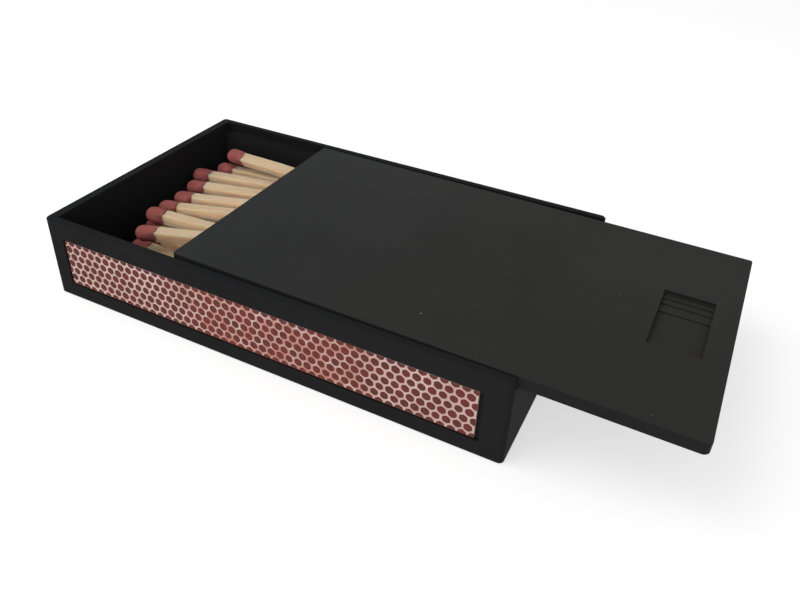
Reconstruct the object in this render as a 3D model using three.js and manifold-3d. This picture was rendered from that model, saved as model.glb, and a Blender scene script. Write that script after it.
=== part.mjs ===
// Matchbox: a tray with a sliding lid, a striking strip let into one long side, and loose matches.
// Millimetres, +Z up. The origin is the centre of the tray's underside and +X is the way the lid opens.
import * as THREE from 'three';
import { mergeVertices } from 'three/addons/utils/BufferGeometryUtils.js';
import Module from 'manifold-3d';

const wasm = await Module();
wasm.setup();

// Tray
const trayLength = 82;
const trayWidth = 48.4;
const trayHeight = 15;
const wall = 1.8;
const floorThickness = 1.2;
const outerCornerRadius = 0.8;
const innerCornerRadius = 0.6;
const edgeChamfer = 0.2;

// Lid and the channel it slides in
const lidThickness = 1.5;
const lidBelowRim = 0.1;
const lidCornerRadius = 1;
const lidOverhang = 0.6;
const channelRim = 1.2;
const channelFlare = 0.5;
const sideClearance = 0.65;
const underClearance = 0.3;
const endClearance = 0.3;
const lidSkew = THREE.MathUtils.degToRad(-0.6);
const lidOpening = 23;

// Thumb scoop: steps of one layer that follow a round hollow
const scoopLength = 7.4;
const scoopWidth = 14;
const scoopRadius = 44;
const scoopDepth = 0.97;
const scoopStep = 0.15;
const scoopFromEnd = 3.5;

// Striking strip and the shallow pocket it is glued into
const stripLeft = 3.6;
const stripLength = 73.9;
const stripBottom = 3;
const stripHeight = 8.4;
const stripThickness = 0.35;
const stripRecess = 0.15;
const stripGlue = 0.05;
const pocketGap = 0.25;
const pocketEndGap = 0.7;

// Matches
const matchLength = 45;
const stickSide = 2.1;
const headDiameter = 3;
const headLength = 4;
const headNeckDiameter = 2.3;
const headJoint = 0.05;
const restGap = 0.2;

// The heap: straight rows from the floor up, and loose matches on top of them. Its top is counted in
// layers, and the places of the rows' heads in head lengths.
const rowMargin = 2.4;
const rowPitch = 4.2;
const loosePitch = 5;
const heapTop = 2.15;
const rowInset = 2.15;
const rowSetback = 1.6;

const overcut = 1;

// A closed three.js geometry as a solid that can be joined and cut.
function toSolid(geometry) {
  geometry.deleteAttribute('normal');
  geometry.deleteAttribute('uv');
  const merged = mergeVertices(geometry, 1e-4);
  return new wasm.Manifold(new wasm.Mesh({
    numProp: 3,
    vertProperties: new Float32Array(merged.attributes.position.array),
    triVerts: new Uint32Array(merged.index.array),
  }));
}

function toGeometry(solid) {
  const mesh = solid.getMesh();
  const geometry = new THREE.BufferGeometry();
  geometry.setAttribute('position', new THREE.BufferAttribute(mesh.vertProperties, 3));
  geometry.setIndex(new THREE.BufferAttribute(mesh.triVerts, 1));
  geometry.computeVertexNormals();
  return geometry;
}

// A rectangle from (x0, y0) to (x1, y1) with round corners.
function roundedRectangle(x0, y0, x1, y1, radius) {
  const shape = new THREE.Shape();
  shape.moveTo(x0 + radius, y0);
  shape.lineTo(x1 - radius, y0);
  shape.absarc(x1 - radius, y0 + radius, radius, -Math.PI / 2, 0, false);
  shape.lineTo(x1, y1 - radius);
  shape.absarc(x1 - radius, y1 - radius, radius, 0, Math.PI / 2, false);
  shape.lineTo(x0 + radius, y1);
  shape.absarc(x0 + radius, y1 - radius, radius, Math.PI / 2, Math.PI, false);
  shape.lineTo(x0, y0 + radius);
  shape.absarc(x0 + radius, y0 + radius, radius, Math.PI, 1.5 * Math.PI, false);
  return shape;
}

// A plan outline raised from z0 to z1, with its top and bottom edges broken by an optional chamfer.
function raised(shape, z0, z1, chamfer = 0) {
  const geometry = new THREE.ExtrudeGeometry(shape, {
    depth: z1 - z0 - 2 * chamfer,
    curveSegments: 6,
    bevelEnabled: chamfer > 0,
    bevelThickness: chamfer,
    bevelSize: chamfer,
    bevelOffset: -chamfer,
    bevelSegments: 1,
  });
  geometry.translate(0, 0, z0 + chamfer);
  return geometry;
}

// A section drawn in Y and Z, run along X from x0 to x1.
function alongX(points, x0, x1) {
  const shape = new THREE.Shape(points.map(([y, z]) => new THREE.Vector2(y, z)));
  const geometry = new THREE.ExtrudeGeometry(shape, { depth: x1 - x0, bevelEnabled: false });
  geometry.applyMatrix4(new THREE.Matrix4().makeBasis(
    new THREE.Vector3(0, 1, 0),
    new THREE.Vector3(0, 0, 1),
    new THREE.Vector3(1, 0, 0),
  ));
  geometry.translate(x0, 0, 0);
  return geometry;
}

function block(x0, x1, y0, y1, z0, z1) {
  const geometry = new THREE.BoxGeometry(x1 - x0, y1 - y0, z1 - z0);
  geometry.translate((x0 + x1) / 2, (y0 + y1) / 2, (z0 + z1) / 2);
  return geometry;
}

// Sizes that follow from the tray: its left end is at x = left, its near side at y = near.
const left = -trayLength / 2;
const right = trayLength / 2;
const near = -trayWidth / 2;
const far = trayWidth / 2;
const lidTop = trayHeight - lidBelowRim;
const lidBottom = lidTop - lidThickness;
const channelFloor = lidBottom - underClearance;
const channelHalf = trayWidth / 2 - channelRim;
const lidHalf = channelHalf - sideClearance;
const lidLength = trayLength - wall - endClearance + lidOverhang;
const flarePerHeight = channelFlare / (trayHeight - channelFloor);

// The tray: floor, four walls, the flared channel for the lid and the pocket for the strip.
function makeTray() {
  const outside = toSolid(raised(
    roundedRectangle(left, near, right, far, outerCornerRadius), 0, trayHeight, edgeChamfer));
  const inside = toSolid(raised(
    roundedRectangle(left + wall, near + wall, right - wall, far - wall, innerCornerRadius),
    floorThickness, trayHeight + overcut));
  const channel = toSolid(alongX([
    [-channelHalf - channelFlare, channelFloor],
    [channelHalf + channelFlare, channelFloor],
    [channelHalf, trayHeight],
    [channelHalf, trayHeight + overcut],
    [-channelHalf, trayHeight + overcut],
    [-channelHalf, trayHeight],
  ], left + wall, right + overcut));
  const pocket = toSolid(block(
    left + stripLeft - pocketGap, left + stripLeft + stripLength + pocketEndGap,
    near - overcut, near + stripRecess + stripThickness + stripGlue,
    stripBottom - pocketGap, stripBottom + stripHeight + pocketGap));
  return toGeometry(outside.subtract(inside).subtract(channel).subtract(pocket));
}

// The lid lies with its own centre at the origin and its underside at z = 0.
function makeLid() {
  const foot = lidHalf + flarePerHeight * lidThickness;
  const plan = toSolid(raised(
    roundedRectangle(-lidLength / 2, -foot, lidLength / 2, foot, lidCornerRadius), 0, lidThickness));
  const section = toSolid(alongX([
    [-foot, -overcut],
    [foot, -overcut],
    [foot, 0],
    [lidHalf, lidThickness],
    [lidHalf, lidThickness + overcut],
    [-lidHalf, lidThickness + overcut],
    [-lidHalf, lidThickness],
    [-foot, 0],
  ], -lidLength / 2 - overcut, lidLength / 2 + overcut));
  return toGeometry(plan.intersect(section).subtract(makeScoop()));
}

// One slab of the hollow for each layer, as wide as the round hollow is at that depth.
function makeScoop() {
  const x1 = lidLength / 2 - scoopFromEnd;
  const x0 = x1 - scoopLength;
  let scoop = null;
  for (let depth = 0; depth < scoopDepth; depth += scoopStep) {
    const rise = scoopRadius - scoopDepth + depth;
    const half = Math.min(Math.sqrt(scoopRadius ** 2 - rise ** 2), scoopWidth / 2);
    const slab = toSolid(block(x0, x1, -half, half, lidThickness - depth - scoopStep, lidThickness + overcut));
    scoop = scoop ? scoop.add(slab) : slab;
  }
  return scoop;
}

function makeStrip() {
  return block(
    left + stripLeft, left + stripLeft + stripLength,
    near + stripRecess, near + stripRecess + stripThickness,
    stripBottom, stripBottom + stripHeight);
}

// A match lies along +X with the tip of its head at x = 0.
function makeStick() {
  return block(headLength + headJoint, matchLength, -stickSide / 2, stickSide / 2, -stickSide / 2, stickSide / 2);
}

function makeHead() {
  const radius = headDiameter / 2;
  const neck = headNeckDiameter / 2;
  const outline = new THREE.SplineCurve([
    new THREE.Vector2(radius * 0.55, headLength * 0.03),
    new THREE.Vector2(radius * 0.9, headLength * 0.2),
    new THREE.Vector2(radius, headLength * 0.45),
    new THREE.Vector2(radius * 0.94, headLength * 0.75),
    new THREE.Vector2(neck, headLength),
  ]);
  const profile = [
    new THREE.Vector2(0, 0),
    ...outline.getPoints(8),
    new THREE.Vector2(0, headLength),
  ];
  const geometry = new THREE.LatheGeometry(profile, 16);
  geometry.rotateZ(-Math.PI / 2);
  return geometry;
}

function material(color, roughness) {
  return new THREE.MeshStandardMaterial({ color, roughness, metalness: 0 });
}

function piece(name, geometry, color, roughness) {
  const mesh = new THREE.Mesh(geometry, material(color, roughness));
  mesh.name = name;
  return mesh;
}

const black = 0x242426;
const matchbox = new THREE.Group();
matchbox.add(piece('box_tray', makeTray(), black, 0.5));
matchbox.add(piece('striker_strip', makeStrip(), 0xb98984, 0.85));

// The lid is drawn partly out, and lies a little skew in the play of its channel.
const lid = piece('sliding_lid', makeLid(), black, 0.5);
const skewReach = (lidHalf + channelFlare) * Math.sin(Math.abs(lidSkew));
const closedX = left + wall + endClearance + skewReach + lidLength / 2;
lid.position.set(closedX + lidOpening, 0, lidBottom);
lid.rotation.z = lidSkew;
matchbox.add(lid);

// Layers of matches. A head lies over a stick, so a layer stands half a head and half a stick higher.
// The loose matches stay at the top of the heap, and as many straight rows as fit lie below them.
const layerPitch = headDiameter / 2 + stickSide / 2 + restGap;
const roomAcross = trayWidth - 2 * wall;
const roomUp = lidBottom - floorThickness - 2 * restGap - headDiameter;
const straightRows = Math.floor(roomUp / layerPitch - heapTop);
const matches = [];

function layerHeight(layer) {
  return floorThickness + restGap + headDiameter / 2 + layer * layerPitch;
}

// A match is laid from its head to its tail. Its head stands back from the end wall by a number of head
// lengths. Across the tray 0 is the near wall and 1 the far wall, layer 0 is the lowest loose layer, and
// the roll is in degrees.
function lay(inset, headAcross, headLayer, tailAcross = headAcross, tailLayer = headLayer, roll = 0) {
  const run = (tailAcross - headAcross) * roomAcross;
  const climb = (tailLayer - headLayer) * layerPitch;
  const rise = Math.asin(climb / matchLength);
  matches.push({
    x: left + wall + inset * headLength,
    y: near + wall + headAcross * roomAcross,
    z: layerHeight(straightRows + headLayer),
    swing: Math.asin(run / (matchLength * Math.cos(rise))),
    rise,
    roll: THREE.MathUtils.degToRad(roll),
  });
}

// A row of matches side by side, from one place across the tray to another.
function layRow(inset, from, to, layer, pitch) {
  const spaces = Math.floor((to - from) * roomAcross / pitch);
  for (let i = 0; i <= spaces; i += 1) {
    lay(inset, THREE.MathUtils.lerp(from, to, i / spaces), layer);
  }
}

lay(1.29, 0.855, heapTop, 0.81, heapTop, 28);
lay(0.74, 0.832, 0.97, 0.937, 0.97);
lay(0.11, 0.727, 1, 0.876, 1.25);
lay(0.68, 0.625, 0.96, 0.752, 2.11, 8);
lay(0.9, 0.518, 0.96, 0.692, 2.11);
lay(0.89, 0.421, 0.96, 0.612, 2.11);
lay(0.93, 0.346, 1.15, 0.424, 1.15);
lay(1.98, 0.183, 1.51, 0.451, 2.17, 8);
lay(0.62, 0.364, 0);
lay(2.4, 0.042, -0.27, 0.042, 1.2);
lay(1.3, 0.214, 0);
lay(1.3, 0.292, 0);
// The heads of one row stand back from those of the row above.
const margin = rowMargin / roomAcross;
layRow(rowInset, 0.473, 1 - margin, 0, loosePitch);
for (let row = 1; row <= straightRows; row += 1) {
  layRow(rowInset + rowSetback * (row % 2), margin, 1 - margin, -row, rowPitch);
}

matches.forEach((place, index) => {
  const number = String(index + 1).padStart(2, '0');
  const match = new THREE.Group();
  match.add(piece(`match_${number}_stick`, makeStick(), 0xd9bd8f, 0.75));
  match.add(piece(`match_${number}_head`, makeHead(), 0x8a4743, 0.85));
  match.position.set(place.x, place.y, place.z);
  match.rotation.set(place.roll, -place.rise, place.swing, 'ZYX');
  matchbox.add(match);
});

export default matchbox;
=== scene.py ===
"""A flat black matchbox with its lid drawn partly out, a honeycomb striking strip and loose matches."""
import math

import bmesh
import bpy
from mathutils import Matrix, Vector, noise


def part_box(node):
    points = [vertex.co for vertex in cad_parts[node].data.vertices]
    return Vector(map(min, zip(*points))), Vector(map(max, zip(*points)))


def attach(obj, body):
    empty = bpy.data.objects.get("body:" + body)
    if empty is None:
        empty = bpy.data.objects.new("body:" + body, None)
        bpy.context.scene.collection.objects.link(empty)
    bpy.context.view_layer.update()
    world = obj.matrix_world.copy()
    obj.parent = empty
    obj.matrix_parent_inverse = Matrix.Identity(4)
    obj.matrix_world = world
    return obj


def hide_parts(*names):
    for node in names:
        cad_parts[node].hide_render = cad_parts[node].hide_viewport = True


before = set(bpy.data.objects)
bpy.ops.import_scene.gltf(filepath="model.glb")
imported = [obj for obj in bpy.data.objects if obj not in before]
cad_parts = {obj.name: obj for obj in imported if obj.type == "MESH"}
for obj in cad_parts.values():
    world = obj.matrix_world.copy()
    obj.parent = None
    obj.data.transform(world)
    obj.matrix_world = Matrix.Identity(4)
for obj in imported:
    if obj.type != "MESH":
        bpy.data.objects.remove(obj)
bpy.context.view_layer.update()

MM = 0.001
GEOMETRY_SEED = 7


# Shader maths
class Value:
    """A number that changes over a surface. Arithmetic on it adds Math nodes."""

    def __init__(self, graph, socket):
        self.graph = graph
        self.socket = socket

    def math(self, operation, *terms, clamp=False):
        settings = {"operation": operation, "use_clamp": clamp}
        return self.graph.value("ShaderNodeMath", settings, dict(enumerate(terms)))

    def __add__(self, other):
        return self.math("ADD", self, other)

    def __radd__(self, other):
        return self.math("ADD", other, self)

    def __sub__(self, other):
        return self.math("SUBTRACT", self, other)

    def __rsub__(self, other):
        return self.math("SUBTRACT", other, self)

    def __mul__(self, other):
        return self.math("MULTIPLY", self, other)

    def __rmul__(self, other):
        return self.math("MULTIPLY", other, self)

    def __mod__(self, other):
        return self.math("MODULO", self, other)

    def __rmod__(self, other):
        return self.math("MODULO", other, self)

    def step(self, low, high):
        """0 below low, 1 above high, smooth between them."""
        return self.graph.value("ShaderNodeMapRange", {"interpolation_type": "SMOOTHSTEP"},
                                {"Value": self, "From Min": low, "From Max": high}, "Result")

    def clamped(self):
        return self.math("ADD", self, 0.0, clamp=True)

    def sine(self):
        return self.math("SINE", self)

    def cosine(self):
        return self.math("COSINE", self)

    def floor(self):
        return self.math("FLOOR", self)


def connect(tree, source, target):
    """Sets a socket from a number, a colour, another socket or a Value."""
    if isinstance(source, Value):
        source = source.socket
    if isinstance(source, bpy.types.NodeSocket):
        tree.links.new(source, target)
    else:
        target.default_value = source


class Graph:
    """A node tree, with the one way that nodes get into it."""

    def __init__(self, tree):
        self.tree = tree

    def add(self, kind, settings=None, inputs=None):
        """A node with its settings, then the values or links of its sockets."""
        node = self.tree.nodes.new(kind)
        for key, value in (settings or {}).items():
            setattr(node, key, value)
        for key, value in (inputs or {}).items():
            connect(self.tree, value, node.inputs[key])
        return node

    def value(self, kind, settings=None, inputs=None, output=0):
        return Value(self, self.add(kind, settings, inputs).outputs[output])

    def seen_directly(self):
        """1 where the camera, a gloss or a clear body looks, and 0 for the light that falls on things."""
        path = self.add("ShaderNodeLightPath")
        rays = [Value(self, path.outputs[f"Is {kind} Ray"]) for kind in ("Camera", "Glossy", "Transmission")]
        return sum(rays[1:], rays[0]).clamped()


class Finish(Graph):
    """A material made of nodes around one Principled shader."""

    def __init__(self, name):
        self.material = bpy.data.materials.new(name)
        self.material.use_nodes = True
        super().__init__(self.material.node_tree)
        self.tree.nodes.clear()
        self.shader = self.add("ShaderNodeBsdfPrincipled")
        self.output = self.add("ShaderNodeOutputMaterial", {}, {"Surface": self.shader.outputs[0]})

    def place(self, scale=(1, 1, 1), rotation=(0, 0, 0), source="Object"):
        """Coordinates on the piece, turned and then stretched."""
        coordinates = self.add("ShaderNodeTexCoord").outputs[source]
        turned = self.add("ShaderNodeMapping", {}, {"Vector": coordinates, "Rotation": rotation})
        stretched = self.add("ShaderNodeMapping", {}, {"Vector": turned.outputs[0], "Scale": scale})
        return stretched.outputs[0]

    def noise(self, scale, detail=2.0, roughness=0.5, vector=None):
        inputs = {"Scale": scale, "Detail": detail, "Roughness": roughness}
        inputs["Vector"] = vector or self.add("ShaderNodeTexCoord").outputs["Object"]
        return self.value("ShaderNodeTexNoise", {}, inputs)

    def axis(self, name, vector=None):
        source = vector or self.add("ShaderNodeTexCoord").outputs["Object"]
        return self.value("ShaderNodeSeparateXYZ", {}, {"Vector": source}, name)

    def mix(self, factor, first, second, blend="MIX"):
        """The first colour where factor is 0, the second where it is 1."""
        node = self.add("ShaderNodeMix", {"data_type": "RGBA", "blend_type": blend},
                        {0: factor, 6: first, 7: second})
        return node.outputs[2]

    def set(self, **sockets):
        for name, value in sockets.items():
            connect(self.tree, value, self.shader.inputs[name.replace("_", " ")])

    def bump(self, height, strength, distance):
        node = self.add("ShaderNodeBump", {}, {"Height": height, "Strength": strength, "Distance": distance})
        connect(self.tree, node.outputs[0], self.shader.inputs["Normal"])


def grey(level):
    return (level, level, level, 1)


# Finishes
LEVEL_FACES = "level_faces"
DOT_INK = "dot_ink"
# Marks the two upright sides of each stick, which get painted light: a paler colour so that they show as
# bright as the top.
PAINTED_LIGHT_SIDES = "painted_light_sides"
LAYER = 0.15 * MM
RASTER = 0.42 * MM
WALL_RIDGES = 0.5
TOP_RIDGES = 0.22
# Tones of the plastics. The wall and top tones of one plastic are painted light and shade: the lid's tops are
# painted lighter than its walls, the tray's tops darker than its walls.
TRAY_WALL = (0.0172, 0.0172, 0.0182, 1)
TRAY_LEFT_TOP = (0.0135, 0.0142, 0.015, 1)
TRAY_RIGHT_TOP = (0.0135, 0.0137, 0.014, 1)
TRAY_SHEEN = 0.012
TRAY_DUST = 0.2
LID_WALL = (0.0146, 0.0146, 0.0148, 1)
LID_LEFT_TOP = (0.0232, 0.0238, 0.0252, 1)
LID_RIGHT_TOP = (0.0234, 0.0231, 0.0214, 1)
LID_SHEEN = 0.045
LID_DUST = 1.0
DUST_GREY = 0.1
SPECKS_PER_METRE = 130.0
SPECK_SIZE = (0.014, 0.034)

SCUFF_LEFT = -13 * MM
SCUFF_RIGHT = 24 * MM
PAPER_PALE = (0.63, 0.455, 0.425, 1)
PAPER_STAINED = (0.52, 0.34, 0.3, 1)
PAPER_RUBBED = (0.46, 0.18, 0.13, 1)
DOT_DARK = (0.078, 0.0225, 0.018, 1)
DOT_BROWN = (0.148, 0.042, 0.032, 1)
DOT_CRIMSON = (0.19, 0.031, 0.034, 1)
DOT_STRUCK = (0.19, 0.044, 0.028, 1)

WOOD_PALE = (0.6, 0.45, 0.305, 1)
WOOD_DEEP = (0.54, 0.395, 0.25, 1)
# Painted light: the paler colour given to the sticks' upright sides.
WOOD_PAINTED_LIGHT = (0.78, 0.6, 0.41, 1)
WOOD_RINGS = (0.5, 0.33, 0.18, 1)
WOOD_FIBRES = (0.42, 0.27, 0.14, 1)
WOOD_BLEED = (1.0, 0.62, 0.36)
WOOD_BLEED_DEPTH = 2.6 * MM

HEAD_RED = (0.24, 0.062, 0.056, 1)
HEAD_BLOOM = (0.32, 0.095, 0.084, 1)
HEAD_GRIT = (0.4, 0.15, 0.135, 1)


def printed_plastic(name, wall, left_top, right_top, sheen, dust):
    """Black plastic laid down in layers: fine ridges round the walls, a faint diagonal raster on top.

    Tops and walls get different base tones, which are painted light and shade, not the plastic's own colour.
    The tops drift in colour from left to right, and carry a few specks of dust.
    """
    finish = Finish(name)
    level = finish.value("ShaderNodeAttribute", {"attribute_name": LEVEL_FACES}, {}, "Fac")
    layers = (finish.axis("Z") * (2 * math.pi / LAYER)).sine()
    diagonal = finish.place(rotation=(0, 0, math.radians(45)))
    raster = (finish.axis("X", diagonal) * (2 * math.pi / RASTER)).sine()
    wander = finish.noise(90.0, 3.0)
    grain = finish.noise(5200.0, 3.0, 0.6)
    cloud = finish.noise(38.0, 4.0, 0.55)
    ridges = layers * (1 - level) * WALL_RIDGES + raster * level * TOP_RIDGES
    finish.bump(ridges * (0.6 + wander * 0.8) + grain * 0.55, 0.35, 0.03 * MM)
    drift = (finish.axis("X") + cloud * 40 * MM).step(-10 * MM, 70 * MM)
    # Painted light and shade: level and upright faces of one plastic get different base tones.
    tone = finish.mix(level, wall, finish.mix(drift, left_top, right_top))
    base = finish.mix(cloud.step(0.35, 0.7), finish.mix(1.0, tone, grey(0.82), "MULTIPLY"), tone)
    speck = finish.value("ShaderNodeTexVoronoi", {"feature": "F1"},
                         {"Vector": finish.place(), "Scale": SPECKS_PER_METRE}, "Distance")
    rare = finish.noise(75.0, 1.0)
    dusty = (1 - speck.step(*SPECK_SIZE)) * rare.step(0.42, 0.5) * level * dust
    finish.set(Base_Color=finish.mix(dusty, base, grey(DUST_GREY)),
               Roughness=0.46 + cloud * 0.1 + grain * 0.05,
               Specular_IOR_Level=sheen)
    return finish.material


def scuffs(finish):
    """Where matches have been dragged along the strip: patches over its middle, none near its ends."""
    x = finish.axis("X")
    begins = x.step(SCUFF_LEFT - 3 * MM, SCUFF_LEFT + 5 * MM)
    ends = x.step(SCUFF_RIGHT - 8 * MM, SCUFF_RIGHT)
    patches = finish.noise(330.0, 4.0, 0.6, finish.place(scale=(1, 1, 1.5)))
    return patches.step(0.34, 0.6) * (begins * (1 - ends))


def striker_paper():
    """Pinkish paper that shows as a net between the dots, salmon where compound is rubbed over it."""
    finish = Finish("striker_paper")
    fibres = finish.noise(2600.0, 5.0, 0.65)
    stain = finish.noise(220.0, 4.0, 0.6)
    pale = finish.mix(stain.step(0.3, 0.75), PAPER_PALE, PAPER_STAINED)
    rubbed = finish.mix(scuffs(finish) * 0.8, pale, PAPER_RUBBED)
    finish.set(Base_Color=rubbed, Roughness=0.86, Specular_IOR_Level=0.2)
    finish.bump(fibres, 0.4, 0.03 * MM)
    return finish.material


def striker_compound():
    """Dark red grit. Each dot leans to brown or to crimson, and is redder where matches have been struck."""
    finish = Finish("striker_compound")
    grit = finish.noise(6500.0, 4.0, 0.7)
    worn = finish.noise(700.0, 4.0, 0.7)
    patch = finish.noise(330.0, 2.0)
    ink = finish.value("ShaderNodeAttribute", {"attribute_name": DOT_INK}, {}, "Fac")
    brown = finish.mix(grit.step(0.35, 0.65), DOT_DARK, DOT_BROWN)
    crimson = finish.mix(ink.step(0.1, 1.2) * (0.25 + patch * 0.5), brown, DOT_CRIMSON)
    struck = scuffs(finish) * (0.1 + worn * 0.45)
    finish.set(Base_Color=finish.mix(struck, crimson, DOT_STRUCK), Roughness=0.82,
               Specular_IOR_Level=0.2)
    finish.bump(grit, 0.6, 0.05 * MM)
    return finish.material


def match_wood():
    """Pale softwood: long grain from the UV map, U along the stick in millimetres. The two upright sides of
    each stick are painted paler than the top, as painted light, so that they show nearly as bright as the lit
    top.
    """
    finish = Finish("match_wood")
    along = finish.place(scale=(0.12, 2.2, 1), source="UV")
    fine = finish.place(scale=(0.5, 11.0, 1), source="UV")
    grain = finish.noise(1.0, 4.0, 0.55, along)
    fibre = finish.noise(1.0, 5.0, 0.7, fine)
    tone = finish.noise(0.05, 1.0, 0.5, finish.place(source="UV"))
    pale = finish.mix(tone.step(0.35, 0.65), WOOD_PALE, WOOD_DEEP)
    # Painted light: the upright sides are made paler than the wood's own colour.
    painted_side = finish.value("ShaderNodeAttribute", {"attribute_name": PAINTED_LIGHT_SIDES}, {}, "Fac")
    sides_painted_lighter = finish.mix(painted_side, pale, WOOD_PAINTED_LIGHT)
    ringed = finish.mix(grain.step(0.45, 0.75) * 0.5, sides_painted_lighter, WOOD_RINGS)
    finish.set(Base_Color=finish.mix(fibre.step(0.55, 0.8) * 0.3, ringed, WOOD_FIBRES),
               Roughness=0.75, Specular_IOR_Level=0.2, Subsurface_Weight=1.0,
               Subsurface_Radius=WOOD_BLEED, Subsurface_Scale=WOOD_BLEED_DEPTH)
    finish.bump(fibre + grain * 0.4, 0.35, 0.06 * MM)
    return finish.material


def match_compound():
    """The dried heads: dull red with a paler bloom and fine grit."""
    finish = Finish("match_compound")
    grit = finish.noise(3800.0, 5.0, 0.7)
    bloom = finish.noise(420.0, 3.0, 0.6)
    base = finish.mix(bloom.step(0.35, 0.7), HEAD_RED, HEAD_BLOOM)
    finish.set(Base_Color=finish.mix(grit.step(0.55, 0.75) * 0.4, base, HEAD_GRIT),
               Roughness=0.8, Specular_IOR_Level=0.2)
    finish.bump(grit + bloom * 0.5, 0.5, 0.09 * MM)
    return finish.material


# Mesh helpers
WELD = 1e-6
FLAT_ANGLE = math.radians(1)
SHARP_ANGLE = math.radians(30)
EDGE_ROUND_STEPS = 2
ON_OUTSIDE = 0.01 * MM
LEVEL_LIMIT = 0.7
SAME_PLACE_DIGITS = 7


def add_object(name, mesh):
    piece = bpy.data.objects.new(name, mesh)
    bpy.context.scene.collection.objects.link(piece)
    return piece


def applied(piece):
    """The piece with its modifiers made real."""
    mesh = bpy.data.meshes.new_from_object(piece.evaluated_get(bpy.context.evaluated_depsgraph_get()))
    piece.modifiers.clear()
    piece.data = mesh
    return piece


def outside(place, low, high):
    return min(abs(place - low), abs(place - high)) < ON_OUTSIDE


def softened(name, node, width, upright_width=0.0):
    """A copy of a CAD node, welded, with its sharp edges eased, and its outer upright edges more so."""
    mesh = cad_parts[node].data.copy()
    low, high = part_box(node)
    build = bmesh.new()
    build.from_mesh(mesh)
    bmesh.ops.remove_doubles(build, verts=build.verts, dist=WELD)
    bmesh.ops.dissolve_limit(build, angle_limit=FLAT_ANGLE, verts=build.verts, edges=build.edges)
    widest = max(width, upright_width)
    weight = build.edges.layers.float.new("bevel_weight_edge")
    for edge in build.edges:
        if edge.calc_face_angle(0.0) > SHARP_ANGLE:
            outer = all(outside(vertex.co[k], low[k], high[k]) for vertex in edge.verts for k in (0, 1))
            edge[weight] = (upright_width if outer and upright_width else width) / widest
    build.to_mesh(mesh)
    build.free()
    mesh.materials.clear()
    piece = add_object(name, mesh)
    bevel = piece.modifiers.new("eased_edges", "BEVEL")
    bevel.width = widest
    bevel.segments = EDGE_ROUND_STEPS
    bevel.limit_method = "WEIGHT"
    bevel.harden_normals = True
    bevel.use_clamp_overlap = True
    return applied(piece)


def marked(piece):
    """Notes on each face whether it lies level, so that tops and walls get their own ridges and dust, and
    their own tones of painted light and shade.
    """
    note = piece.data.attributes.new(LEVEL_FACES, "FLOAT", "FACE")
    for polygon in piece.data.polygons:
        note.data[polygon.index].value = float(abs(polygon.normal.z) > LEVEL_LIMIT)
    return piece


def finish_piece(piece, material, body, slot, *nodes):
    piece.data.materials.clear()
    piece.data.materials.append(material)
    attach(piece, body)
    if nodes:
        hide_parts(*nodes)


# Matches
STICK_RINGS = 26
# The two upright sides of a stick, which get painted light.
SIDE_FACES = (3, 7)
STICK_EASE = 0.12 * MM
STICK_IN_HEAD = 1.0 * MM
STICK_WANDER = 0.035 * MM
STICK_CHIPS = 0.05 * MM
WANDER_PER_METRE = 150.0
CHIPS_PER_METRE = 900.0
STICK_SLACK = 0.03 * MM
TAIL_UNEVEN = 0.12 * MM
GRAIN_SHIFT = 83.0
END_GRAIN = 4

HEAD_RINGS = 18
HEAD_SIDES = 28
HEAD_FULL_FROM = 0.42
HEAD_BLUNTNESS = 0.82
HEAD_TAPER_FROM = 0.5
HEAD_TAPER = 0.3
HEAD_TAPER_POWER = 2.2
HEAD_SLACK = 0.975
LUMPS_GROWTH = 3
# Fineness across, seed step, fineness along and height of each size of lump
LUMPS = ((1.3, 5.1, 2.6, 0.09), (4.0, 9.7, 8.0, 0.035))
HEM_FROM = 0.72
HEM_DRIP = 0.45 * MM
HEM_NOISE = (1.1, 2.3, 4.0)
STICK_COVER = 1.06
STICK_COVER_FROM = 0.6
HEAD_BACK_DEPTH = 0.35 * MM
HEAD_BACK_REACH = 0.9


class MatchFrame:
    """Where one match lies: the tip of its head, its length along and its two sides across."""

    def __init__(self, number):
        self.number = number
        self.stick_node = f"match_{number:02d}_stick"
        self.head_node = f"match_{number:02d}_head"
        corners = distinct(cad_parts[self.stick_node].data)
        head = distinct(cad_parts[self.head_node].data)
        middle = sum(corners, Vector()) / len(corners)
        first = min(corners, key=lambda c: (c - head[0]).length)
        edges = sorted((c - first for c in corners if c != first), key=lambda e: e.length)
        self.side = edges[0].length
        self.across, self.up = sorted((edges[0].normalized(), edges[1].normalized()), key=lambda e: abs(e.z))
        along = self.across.cross(self.up).normalized()
        centre = sum(head, Vector()) / len(head)
        self.along = along if along.dot(middle - centre) > 0 else -along
        reach = [(v - middle).dot(self.along) for v in head]
        tail = max((c - middle).dot(self.along) for c in corners)
        self.tip = middle + self.along * min(reach)
        self.head_length = max(reach) - min(reach)
        self.length = tail - min(reach)
        out = [v - self.tip for v in head]
        self.head_radius = max((v - self.along * v.dot(self.along)).length for v in out)

    def point(self, x, y, z):
        return self.tip + self.along * x + self.across * y + self.up * z


def distinct(mesh):
    """The places of a mesh's corners, each once."""
    seen = {}
    for vertex in mesh.vertices:
        key = tuple(round(c, SAME_PLACE_DIGITS) for c in vertex.co)
        seen[key] = vertex.co.copy()
    return list(seen.values())


def wobble(place, scale, seed):
    return noise.noise(Vector((place * scale, seed * 3.7, seed * 1.3)))


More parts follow.
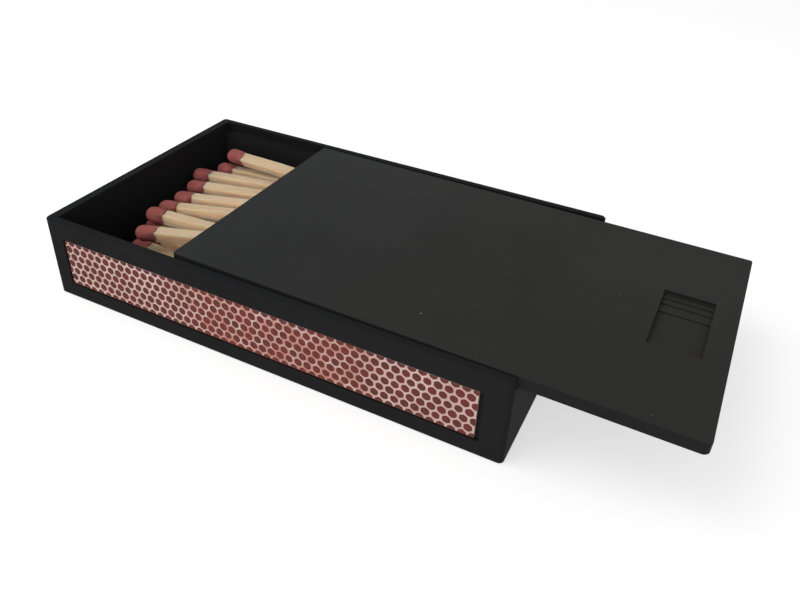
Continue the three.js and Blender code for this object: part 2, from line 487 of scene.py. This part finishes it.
def make_stick(match):
    """A sawn square stick with eased, slightly uneven edges, run a little way into the head."""
    half = match.side / 2
    start = match.head_length - STICK_IN_HEAD
    build = bmesh.new()
    uv = build.loops.layers.uv.new("UVMap")
    painted_side = build.faces.layers.float.new(PAINTED_LIGHT_SIDES)
    section = []
    for sy, sz in ((1, 1), (-1, 1), (-1, -1), (1, -1)):
        turned = (sy, sz) in ((1, 1), (-1, -1))
        pair = [(sy * half, sz * (half - STICK_EASE)), (sy * (half - STICK_EASE), sz * half)]
        section += pair if turned else pair[::-1]
    girth = [0.0]
    for i in range(len(section)):
        a, b = section[i], section[(i + 1) % len(section)]
        girth.append(girth[-1] + math.dist(a, b))
    rings = []
    for r in range(STICK_RINGS):
        x = start + (match.length - start) * r / (STICK_RINGS - 1)
        ring = []
        for i, (y, z) in enumerate(section):
            drift = STICK_WANDER * wobble(x, WANDER_PER_METRE, match.number + i // 2 * 0.31)
            chip = STICK_CHIPS * wobble(x, CHIPS_PER_METRE, match.number * 1.7 + i)
            scale = 1 + (drift + chip - STICK_SLACK) / half
            end = TAIL_UNEVEN * wobble(i * 0.9, 1.0, match.number) if r == STICK_RINGS - 1 else 0.0
            ring.append(build.verts.new(match.point(x - abs(end), y * scale, z * scale)))
        rings.append(ring)
    count = len(section)
    shift = match.number * GRAIN_SHIFT
    for r in range(STICK_RINGS - 1):
        for i in range(count):
            j = (i + 1) % count
            face = build.faces.new((rings[r][i], rings[r][j], rings[r + 1][j], rings[r + 1][i]))
            # Marks the upright sides for their painted light.
            face[painted_side] = float(i in SIDE_FACES)
            u0 = r / (STICK_RINGS - 1) * match.length / MM + shift
            u1 = (r + 1) / (STICK_RINGS - 1) * match.length / MM + shift
            v0, v1 = girth[i] / MM, girth[i + 1] / MM
            for loop, place in zip(face.loops, ((u0, v0), (u0, v1), (u1, v1), (u1, v0))):
                loop[uv].uv = place
    for ring in (rings[0], rings[-1]):
        face = build.faces.new(ring if ring is rings[0] else ring[::-1])
        for loop in face.loops:
            local = loop.vert.co - match.tip
            loop[uv].uv = (local.dot(match.across) / MM * END_GRAIN + shift, local.dot(match.up) / MM)
    bmesh.ops.recalc_face_normals(build, faces=build.faces)
    mesh = bpy.data.meshes.new(f"stick_{match.number:02d}")
    build.to_mesh(mesh)
    build.free()
    return add_object(mesh.name, mesh)


def head_profile(t):
    """Radius of the head, as a share of its fullest, at a share t of its length from the tip."""
    front = 1.0
    if t < HEAD_FULL_FROM:
        front = math.sqrt(max(0.0, 1 - ((HEAD_FULL_FROM - t) / HEAD_FULL_FROM) ** 2))
    past = max(0.0, (t - HEAD_TAPER_FROM) / (1 - HEAD_TAPER_FROM))
    return front ** HEAD_BLUNTNESS * (1 - HEAD_TAPER * past ** HEAD_TAPER_POWER)


def make_head(match):
    """Dried compound: a lumpy bulb, drawn in to the stick with an uneven hem."""
    build = bmesh.new()
    seed = match.number
    length = match.head_length
    stick = match.side / 2
    rings = []
    for r in range(1, HEAD_RINGS + 1):
        t = r / HEAD_RINGS
        ring = []
        for i in range(HEAD_SIDES):
            angle = 2 * math.pi * i / HEAD_SIDES
            c, s = math.cos(angle), math.sin(angle)
            hem = max(0.0, (t - HEM_FROM) / (1 - HEM_FROM))
            cover = stick * STICK_COVER / max(abs(c), abs(s)) * min(1.0, t / STICK_COVER_FROM)
            radius = max(match.head_radius * head_profile(t), cover)
            lump = sum(high * noise.noise(Vector((c * fine + seed * step, s * fine, t * run)))
                       for fine, step, run, high in LUMPS)
            radius = max(radius * (HEAD_SLACK + lump * min(1.0, LUMPS_GROWTH * t)), cover)
            fine, step, place = HEM_NOISE
            drip = HEM_DRIP * noise.noise(Vector((c * fine + seed * step, s * fine, place))) * hem
            x = length * t + drip
            ring.append(build.verts.new(match.point(x, radius * c, radius * s)))
        rings.append(ring)
    inner = []
    for i in range(HEAD_SIDES):
        angle = 2 * math.pi * i / HEAD_SIDES
        c, s = math.cos(angle), math.sin(angle)
        reach = stick * HEAD_BACK_REACH / max(abs(c), abs(s))
        inner.append(build.verts.new(match.point(length - HEAD_BACK_DEPTH, reach * c, reach * s)))
    rings.append(inner)
    for near_ring, far_ring in zip(rings, rings[1:]):
        for i in range(HEAD_SIDES):
            j = (i + 1) % HEAD_SIDES
            build.faces.new((near_ring[i], near_ring[j], far_ring[j], far_ring[i]))
    tip = build.verts.new(match.point(0, 0, 0))
    for i in range(HEAD_SIDES):
        build.faces.new((tip, rings[0][(i + 1) % HEAD_SIDES], rings[0][i]))
    build.faces.new(inner[::-1])
    bmesh.ops.recalc_face_normals(build, faces=build.faces)
    mesh = bpy.data.meshes.new(f"head_{match.number:02d}")
    build.to_mesh(mesh)
    build.free()
    for polygon in mesh.polygons:
        polygon.use_smooth = True
    return add_object(mesh.name, mesh)


# Striking strip
DOT_PITCH = 1.606 * MM
DOT_ROW = 1.391 * MM
DOT_RADIUS = 0.675 * MM
DOT_HEIGHT = 0.04 * MM
DOT_SIDES = 6
DOT_CORNER_CUT = math.radians(11)
DOT_TOP = 0.94
DOT_TURN = 0.07
DOT_SIZES = (0.94, 1.05)
DOT_ROWS = 7
FIRST_DOT = -0.166 * MM
FIRST_ROW = 0.03 * MM
DOT_WELD = 1e-7


class Shape(Graph):
    """A geometry node tree with named inputs."""

    def __init__(self, name, inputs):
        super().__init__(bpy.data.node_groups.new(name, "GeometryNodeTree"))
        sockets = self.tree.interface
        sockets.new_socket("Geometry", in_out="INPUT", socket_type="NodeSocketGeometry")
        self.keys = {}
        for label, kind, value in inputs:
            socket = sockets.new_socket(label, in_out="INPUT", socket_type=kind)
            socket.default_value = value
            self.keys[label] = socket.identifier
        sockets.new_socket("Geometry", in_out="OUTPUT", socket_type="NodeSocketGeometry")
        self.given = self.add("NodeGroupInput")

    def input(self, label):
        return Value(self, self.given.outputs[label])

    def vector(self, x, y, z):
        return self.add("ShaderNodeCombineXYZ", {}, {0: x, 1: y, 2: z}).outputs[0]

    def random(self, low, high, seed_step=0):
        inputs = {2: low, 3: high, "Seed": self.input("Seed") + seed_step}
        return self.value("FunctionNodeRandomValue", {"data_type": "FLOAT"}, inputs, 1)

    def finish(self, geometry, material):
        real = self.add("GeometryNodeRealizeInstances", {}, {0: geometry})
        painted = self.add("GeometryNodeSetMaterial", {}, {"Geometry": real.outputs[0], "Material": material})
        self.add("NodeGroupOutput", {}, {0: painted.outputs[0]})


def honeycomb_tree(material):
    """Rounded hexagons on a staggered grid in the XY plane, cut off at the strip's edges."""
    shape = Shape("honeycomb", [
        ("Pitch", "NodeSocketFloat", DOT_PITCH),
        ("Row", "NodeSocketFloat", DOT_ROW),
        ("Columns", "NodeSocketInt", 40),
        ("Rows", "NodeSocketInt", DOT_ROWS),
        ("Radius", "NodeSocketFloat", DOT_RADIUS),
        ("Height", "NodeSocketFloat", DOT_HEIGHT),
        ("Low", "NodeSocketVector", (0, 0, 0)),
        ("High", "NodeSocketVector", (1, 1, 1)),
        ("Seed", "NodeSocketInt", GEOMETRY_SEED),
    ])
    pitch, row = shape.input("Pitch"), shape.input("Row")
    columns, rows = shape.input("Columns"), shape.input("Rows")
    index = shape.value("GeometryNodeInputIndex")
    grid = shape.add("GeometryNodeMeshGrid", {}, {
        "Size X": (columns - 1) * pitch,
        "Size Y": (rows - 1) * row,
        "Vertices X": columns,
        "Vertices Y": rows})
    odd = index % rows % 2
    start = shape.vector((columns - 1) * pitch * 0.5 + odd * pitch * 0.5, (rows - 1) * row * 0.5, 0.0)
    staggered = shape.add("GeometryNodeSetPosition", {}, {"Geometry": grid.outputs[0], "Offset": start})
    circle = shape.add("GeometryNodeMeshCircle", {"fill_type": "NGON"}, {
        "Vertices": 2 * DOT_SIDES, "Radius": shape.input("Radius")})
    corner = (index * 0.5).floor() * (2 * math.pi / DOT_SIDES) + math.pi / 2
    angle = corner + (index % 2 * 2 - 1) * DOT_CORNER_CUT
    radius = shape.input("Radius")
    cut_corners = shape.vector(angle.cosine() * radius, angle.sine() * radius, 0.0)
    hexagon = shape.add("GeometryNodeSetPosition", {}, {
        "Geometry": circle.outputs[0], "Position": cut_corners})
    raised = shape.add("GeometryNodeExtrudeMesh", {"mode": "FACES"}, {
        "Mesh": hexagon.outputs[0],
        "Offset": shape.vector(0.0, 0.0, 1.0),
        "Offset Scale": shape.input("Height")})
    eased = shape.add("GeometryNodeScaleElements", {"domain": "FACE"}, {
        "Geometry": raised.outputs["Mesh"], "Selection": raised.outputs["Top"], "Scale": DOT_TOP})
    turn = shape.random(-DOT_TURN, DOT_TURN)
    size = shape.random(*DOT_SIZES, 1)
    dots = shape.add("GeometryNodeInstanceOnPoints", {}, {
        "Points": staggered.outputs[0],
        "Instance": eased.outputs[0],
        "Rotation": shape.vector(0.0, 0.0, turn),
        "Scale": size})
    inked = shape.add("GeometryNodeStoreNamedAttribute", {"data_type": "FLOAT", "domain": "INSTANCE"}, {
        "Geometry": dots.outputs[0], "Name": DOT_INK, "Value": shape.random(0.0, 1.0, 2)})
    real = shape.add("GeometryNodeRealizeInstances", {}, {0: inked.outputs[0]})
    place = shape.add("GeometryNodeInputPosition").outputs[0]
    not_under = shape.add("ShaderNodeVectorMath", {"operation": "MAXIMUM"}, {
        0: place, 1: shape.given.outputs["Low"]})
    not_over = shape.add("ShaderNodeVectorMath", {"operation": "MINIMUM"}, {
        0: not_under.outputs[0], 1: shape.given.outputs["High"]})
    cut = shape.add("GeometryNodeSetPosition", {}, {
        "Geometry": real.outputs[0], "Position": not_over.outputs[0]})
    shape.finish(cut.outputs[0], material)
    return shape


def make_honeycomb(low, high, material):
    """The printed dots, standing a little proud of the paper's near face."""
    width, height = high.x - low.x, high.z - low.z
    mesh = bpy.data.meshes.new("striker_honeycomb")
    piece = add_object(mesh.name, mesh)
    shape = honeycomb_tree(material)
    modifier = piece.modifiers.new("honeycomb", "NODES")
    modifier.node_group = shape.tree
    modifier[shape.keys["Columns"]] = math.ceil(width / DOT_PITCH) + 2
    modifier[shape.keys["Low"]] = (-FIRST_DOT, -FIRST_ROW, 0.0)
    modifier[shape.keys["High"]] = (width - FIRST_DOT, height - FIRST_ROW, DOT_HEIGHT)
    applied(piece)
    first = Vector((low.x + FIRST_DOT, low.y, low.z + FIRST_ROW))
    piece.data.transform(Matrix.Translation(first) @ Matrix.Rotation(math.pi / 2, 4, "X"))
    clean = bmesh.new()
    clean.from_mesh(piece.data)
    bmesh.ops.remove_doubles(clean, verts=clean.verts, dist=DOT_WELD)
    bmesh.ops.dissolve_degenerate(clean, edges=clean.edges, dist=DOT_WELD)
    bmesh.ops.recalc_face_normals(clean, faces=clean.faces)
    clean.to_mesh(piece.data)
    clean.free()
    return piece


# Build the pieces
TRAY_EDGE = 0.12 * MM
LID_EDGE = 0.1 * MM
PAPER_EDGE = 0.06 * MM
CORNER_EDGE = 0.35 * MM

tray_black = printed_plastic("tray_black", TRAY_WALL, TRAY_LEFT_TOP, TRAY_RIGHT_TOP, TRAY_SHEEN, TRAY_DUST)
lid_black = printed_plastic("lid_black", LID_WALL, LID_LEFT_TOP, LID_RIGHT_TOP, LID_SHEEN, LID_DUST)
paper = striker_paper()
compound = striker_compound()
wood = match_wood()
head_red = match_compound()

tray_shell = marked(softened("tray_shell", "box_tray", TRAY_EDGE, CORNER_EDGE))
finish_piece(tray_shell, tray_black, "tray", "tray_plastic", "box_tray")
lid_plate = marked(softened("lid_plate", "sliding_lid", LID_EDGE, CORNER_EDGE))
finish_piece(lid_plate, lid_black, "lid", "lid_plastic", "sliding_lid")
paper_strip = softened("striker_paper_strip", "striker_strip", PAPER_EDGE)
finish_piece(paper_strip, paper, "tray", "striker", "striker_strip")
strip_low, strip_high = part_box("striker_strip")
finish_piece(make_honeycomb(strip_low, strip_high, compound), compound, "tray", "striker")

match_numbers = sorted(int(name.split("_")[1]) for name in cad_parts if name.endswith("_stick"))
for number in match_numbers:
    match = MatchFrame(number)
    finish_piece(make_stick(match), wood, "tray", "match_wood", match.stick_node)
    finish_piece(make_head(match), head_red, "tray", "match_head", match.head_node)


# Stage, light and camera
FLOOR_HALF = 2.0
FLOOR_TONE = 0.7
FLOOR_GLOW = 2.3
FLOOR_GLOW_SHARE = 0.25
SKY = 0.5
CAMERA_PLACE = Vector((57.29, -95.51, 80.34)) * MM
CAMERA_RIGHT = Vector((0.8902, 0.4543, 0.0334))
CAMERA_DOWN = Vector((0.2702, -0.4678, -0.8415))
FOCAL_PIXELS = 757.9
IMAGE_WIDTH = 800
IMAGE_HEIGHT = 600
OPTICAL_CENTRE = (390.3, 247.1)
SENSOR = 36.0
CLIP_NEAR = 0.005
CLIP_FAR = 20.0


def make_floor():
    mesh = bpy.data.meshes.new("floor")
    corners = [(x * FLOOR_HALF, y * FLOOR_HALF, 0) for x, y in ((-1, -1), (1, -1), (1, 1), (-1, 1))]
    mesh.from_pydata(corners, [], [(0, 1, 2, 3)])
    floor = add_object("floor", mesh)
    finish = Finish("floor_white")
    finish.set(Base_Color=grey(FLOOR_TONE), Roughness=0.9, Specular_IOR_Level=0.0)
    glow = finish.add("ShaderNodeEmission", {}, {"Color": grey(1.0), "Strength": FLOOR_GLOW})
    blend = finish.add("ShaderNodeMixShader", {}, {
        0: finish.seen_directly() * FLOOR_GLOW_SHARE, 1: finish.shader.outputs[0], 2: glow.outputs[0]})
    connect(finish.tree, blend.outputs[0], finish.output.inputs["Surface"])
    mesh.materials.append(finish.material)


def make_world():
    world = bpy.data.worlds.new("studio")
    bpy.context.scene.world = world
    world.use_nodes = True
    world.node_tree.nodes.clear()
    sky = Graph(world.node_tree)
    strength = SKY + sky.seen_directly() * (1 - SKY)
    background = sky.add("ShaderNodeBackground", {}, {"Color": grey(1.0), "Strength": strength})
    sky.add("ShaderNodeOutputWorld", {}, {"Surface": background.outputs[0]})


def add_softbox(name, place, size, power):
    light = bpy.data.lights.new(name, "AREA")
    light.shape = "RECTANGLE"
    light.size = size[0]
    light.size_y = size[1]
    light.energy = power
    lamp = bpy.data.objects.new(name, light)
    bpy.context.scene.collection.objects.link(lamp)
    lamp.location = place
    lamp.rotation_euler = (-Vector(place)).to_track_quat("-Z", "Y").to_euler()


def make_camera():
    camera = bpy.data.cameras.new("camera")
    camera.sensor_width = SENSOR
    camera.lens = SENSOR * FOCAL_PIXELS / IMAGE_WIDTH
    camera.shift_x = (IMAGE_WIDTH / 2 - OPTICAL_CENTRE[0]) / IMAGE_WIDTH
    camera.shift_y = (OPTICAL_CENTRE[1] - IMAGE_HEIGHT / 2) / IMAGE_WIDTH
    camera.clip_start = CLIP_NEAR
    camera.clip_end = CLIP_FAR
    holder = bpy.data.objects.new("camera", camera)
    bpy.context.scene.collection.objects.link(holder)
    right = CAMERA_RIGHT.normalized()
    back = right.cross(-CAMERA_DOWN).normalized()
    up = back.cross(right)
    holder.matrix_world = Matrix.Translation(CAMERA_PLACE) @ Matrix((right, up, back)).transposed().to_4x4()
    bpy.context.scene.camera = holder


make_floor()
make_world()
add_softbox("key_softbox", place=(-0.4, -0.28, 0.64), size=(0.6, 0.6), power=2.9)
add_softbox("fill_softbox", place=(0.12, -0.62, 0.3), size=(0.5, 0.4), power=1.7)
make_camera()
bpy.context.scene.view_settings.view_transform = "Standard"
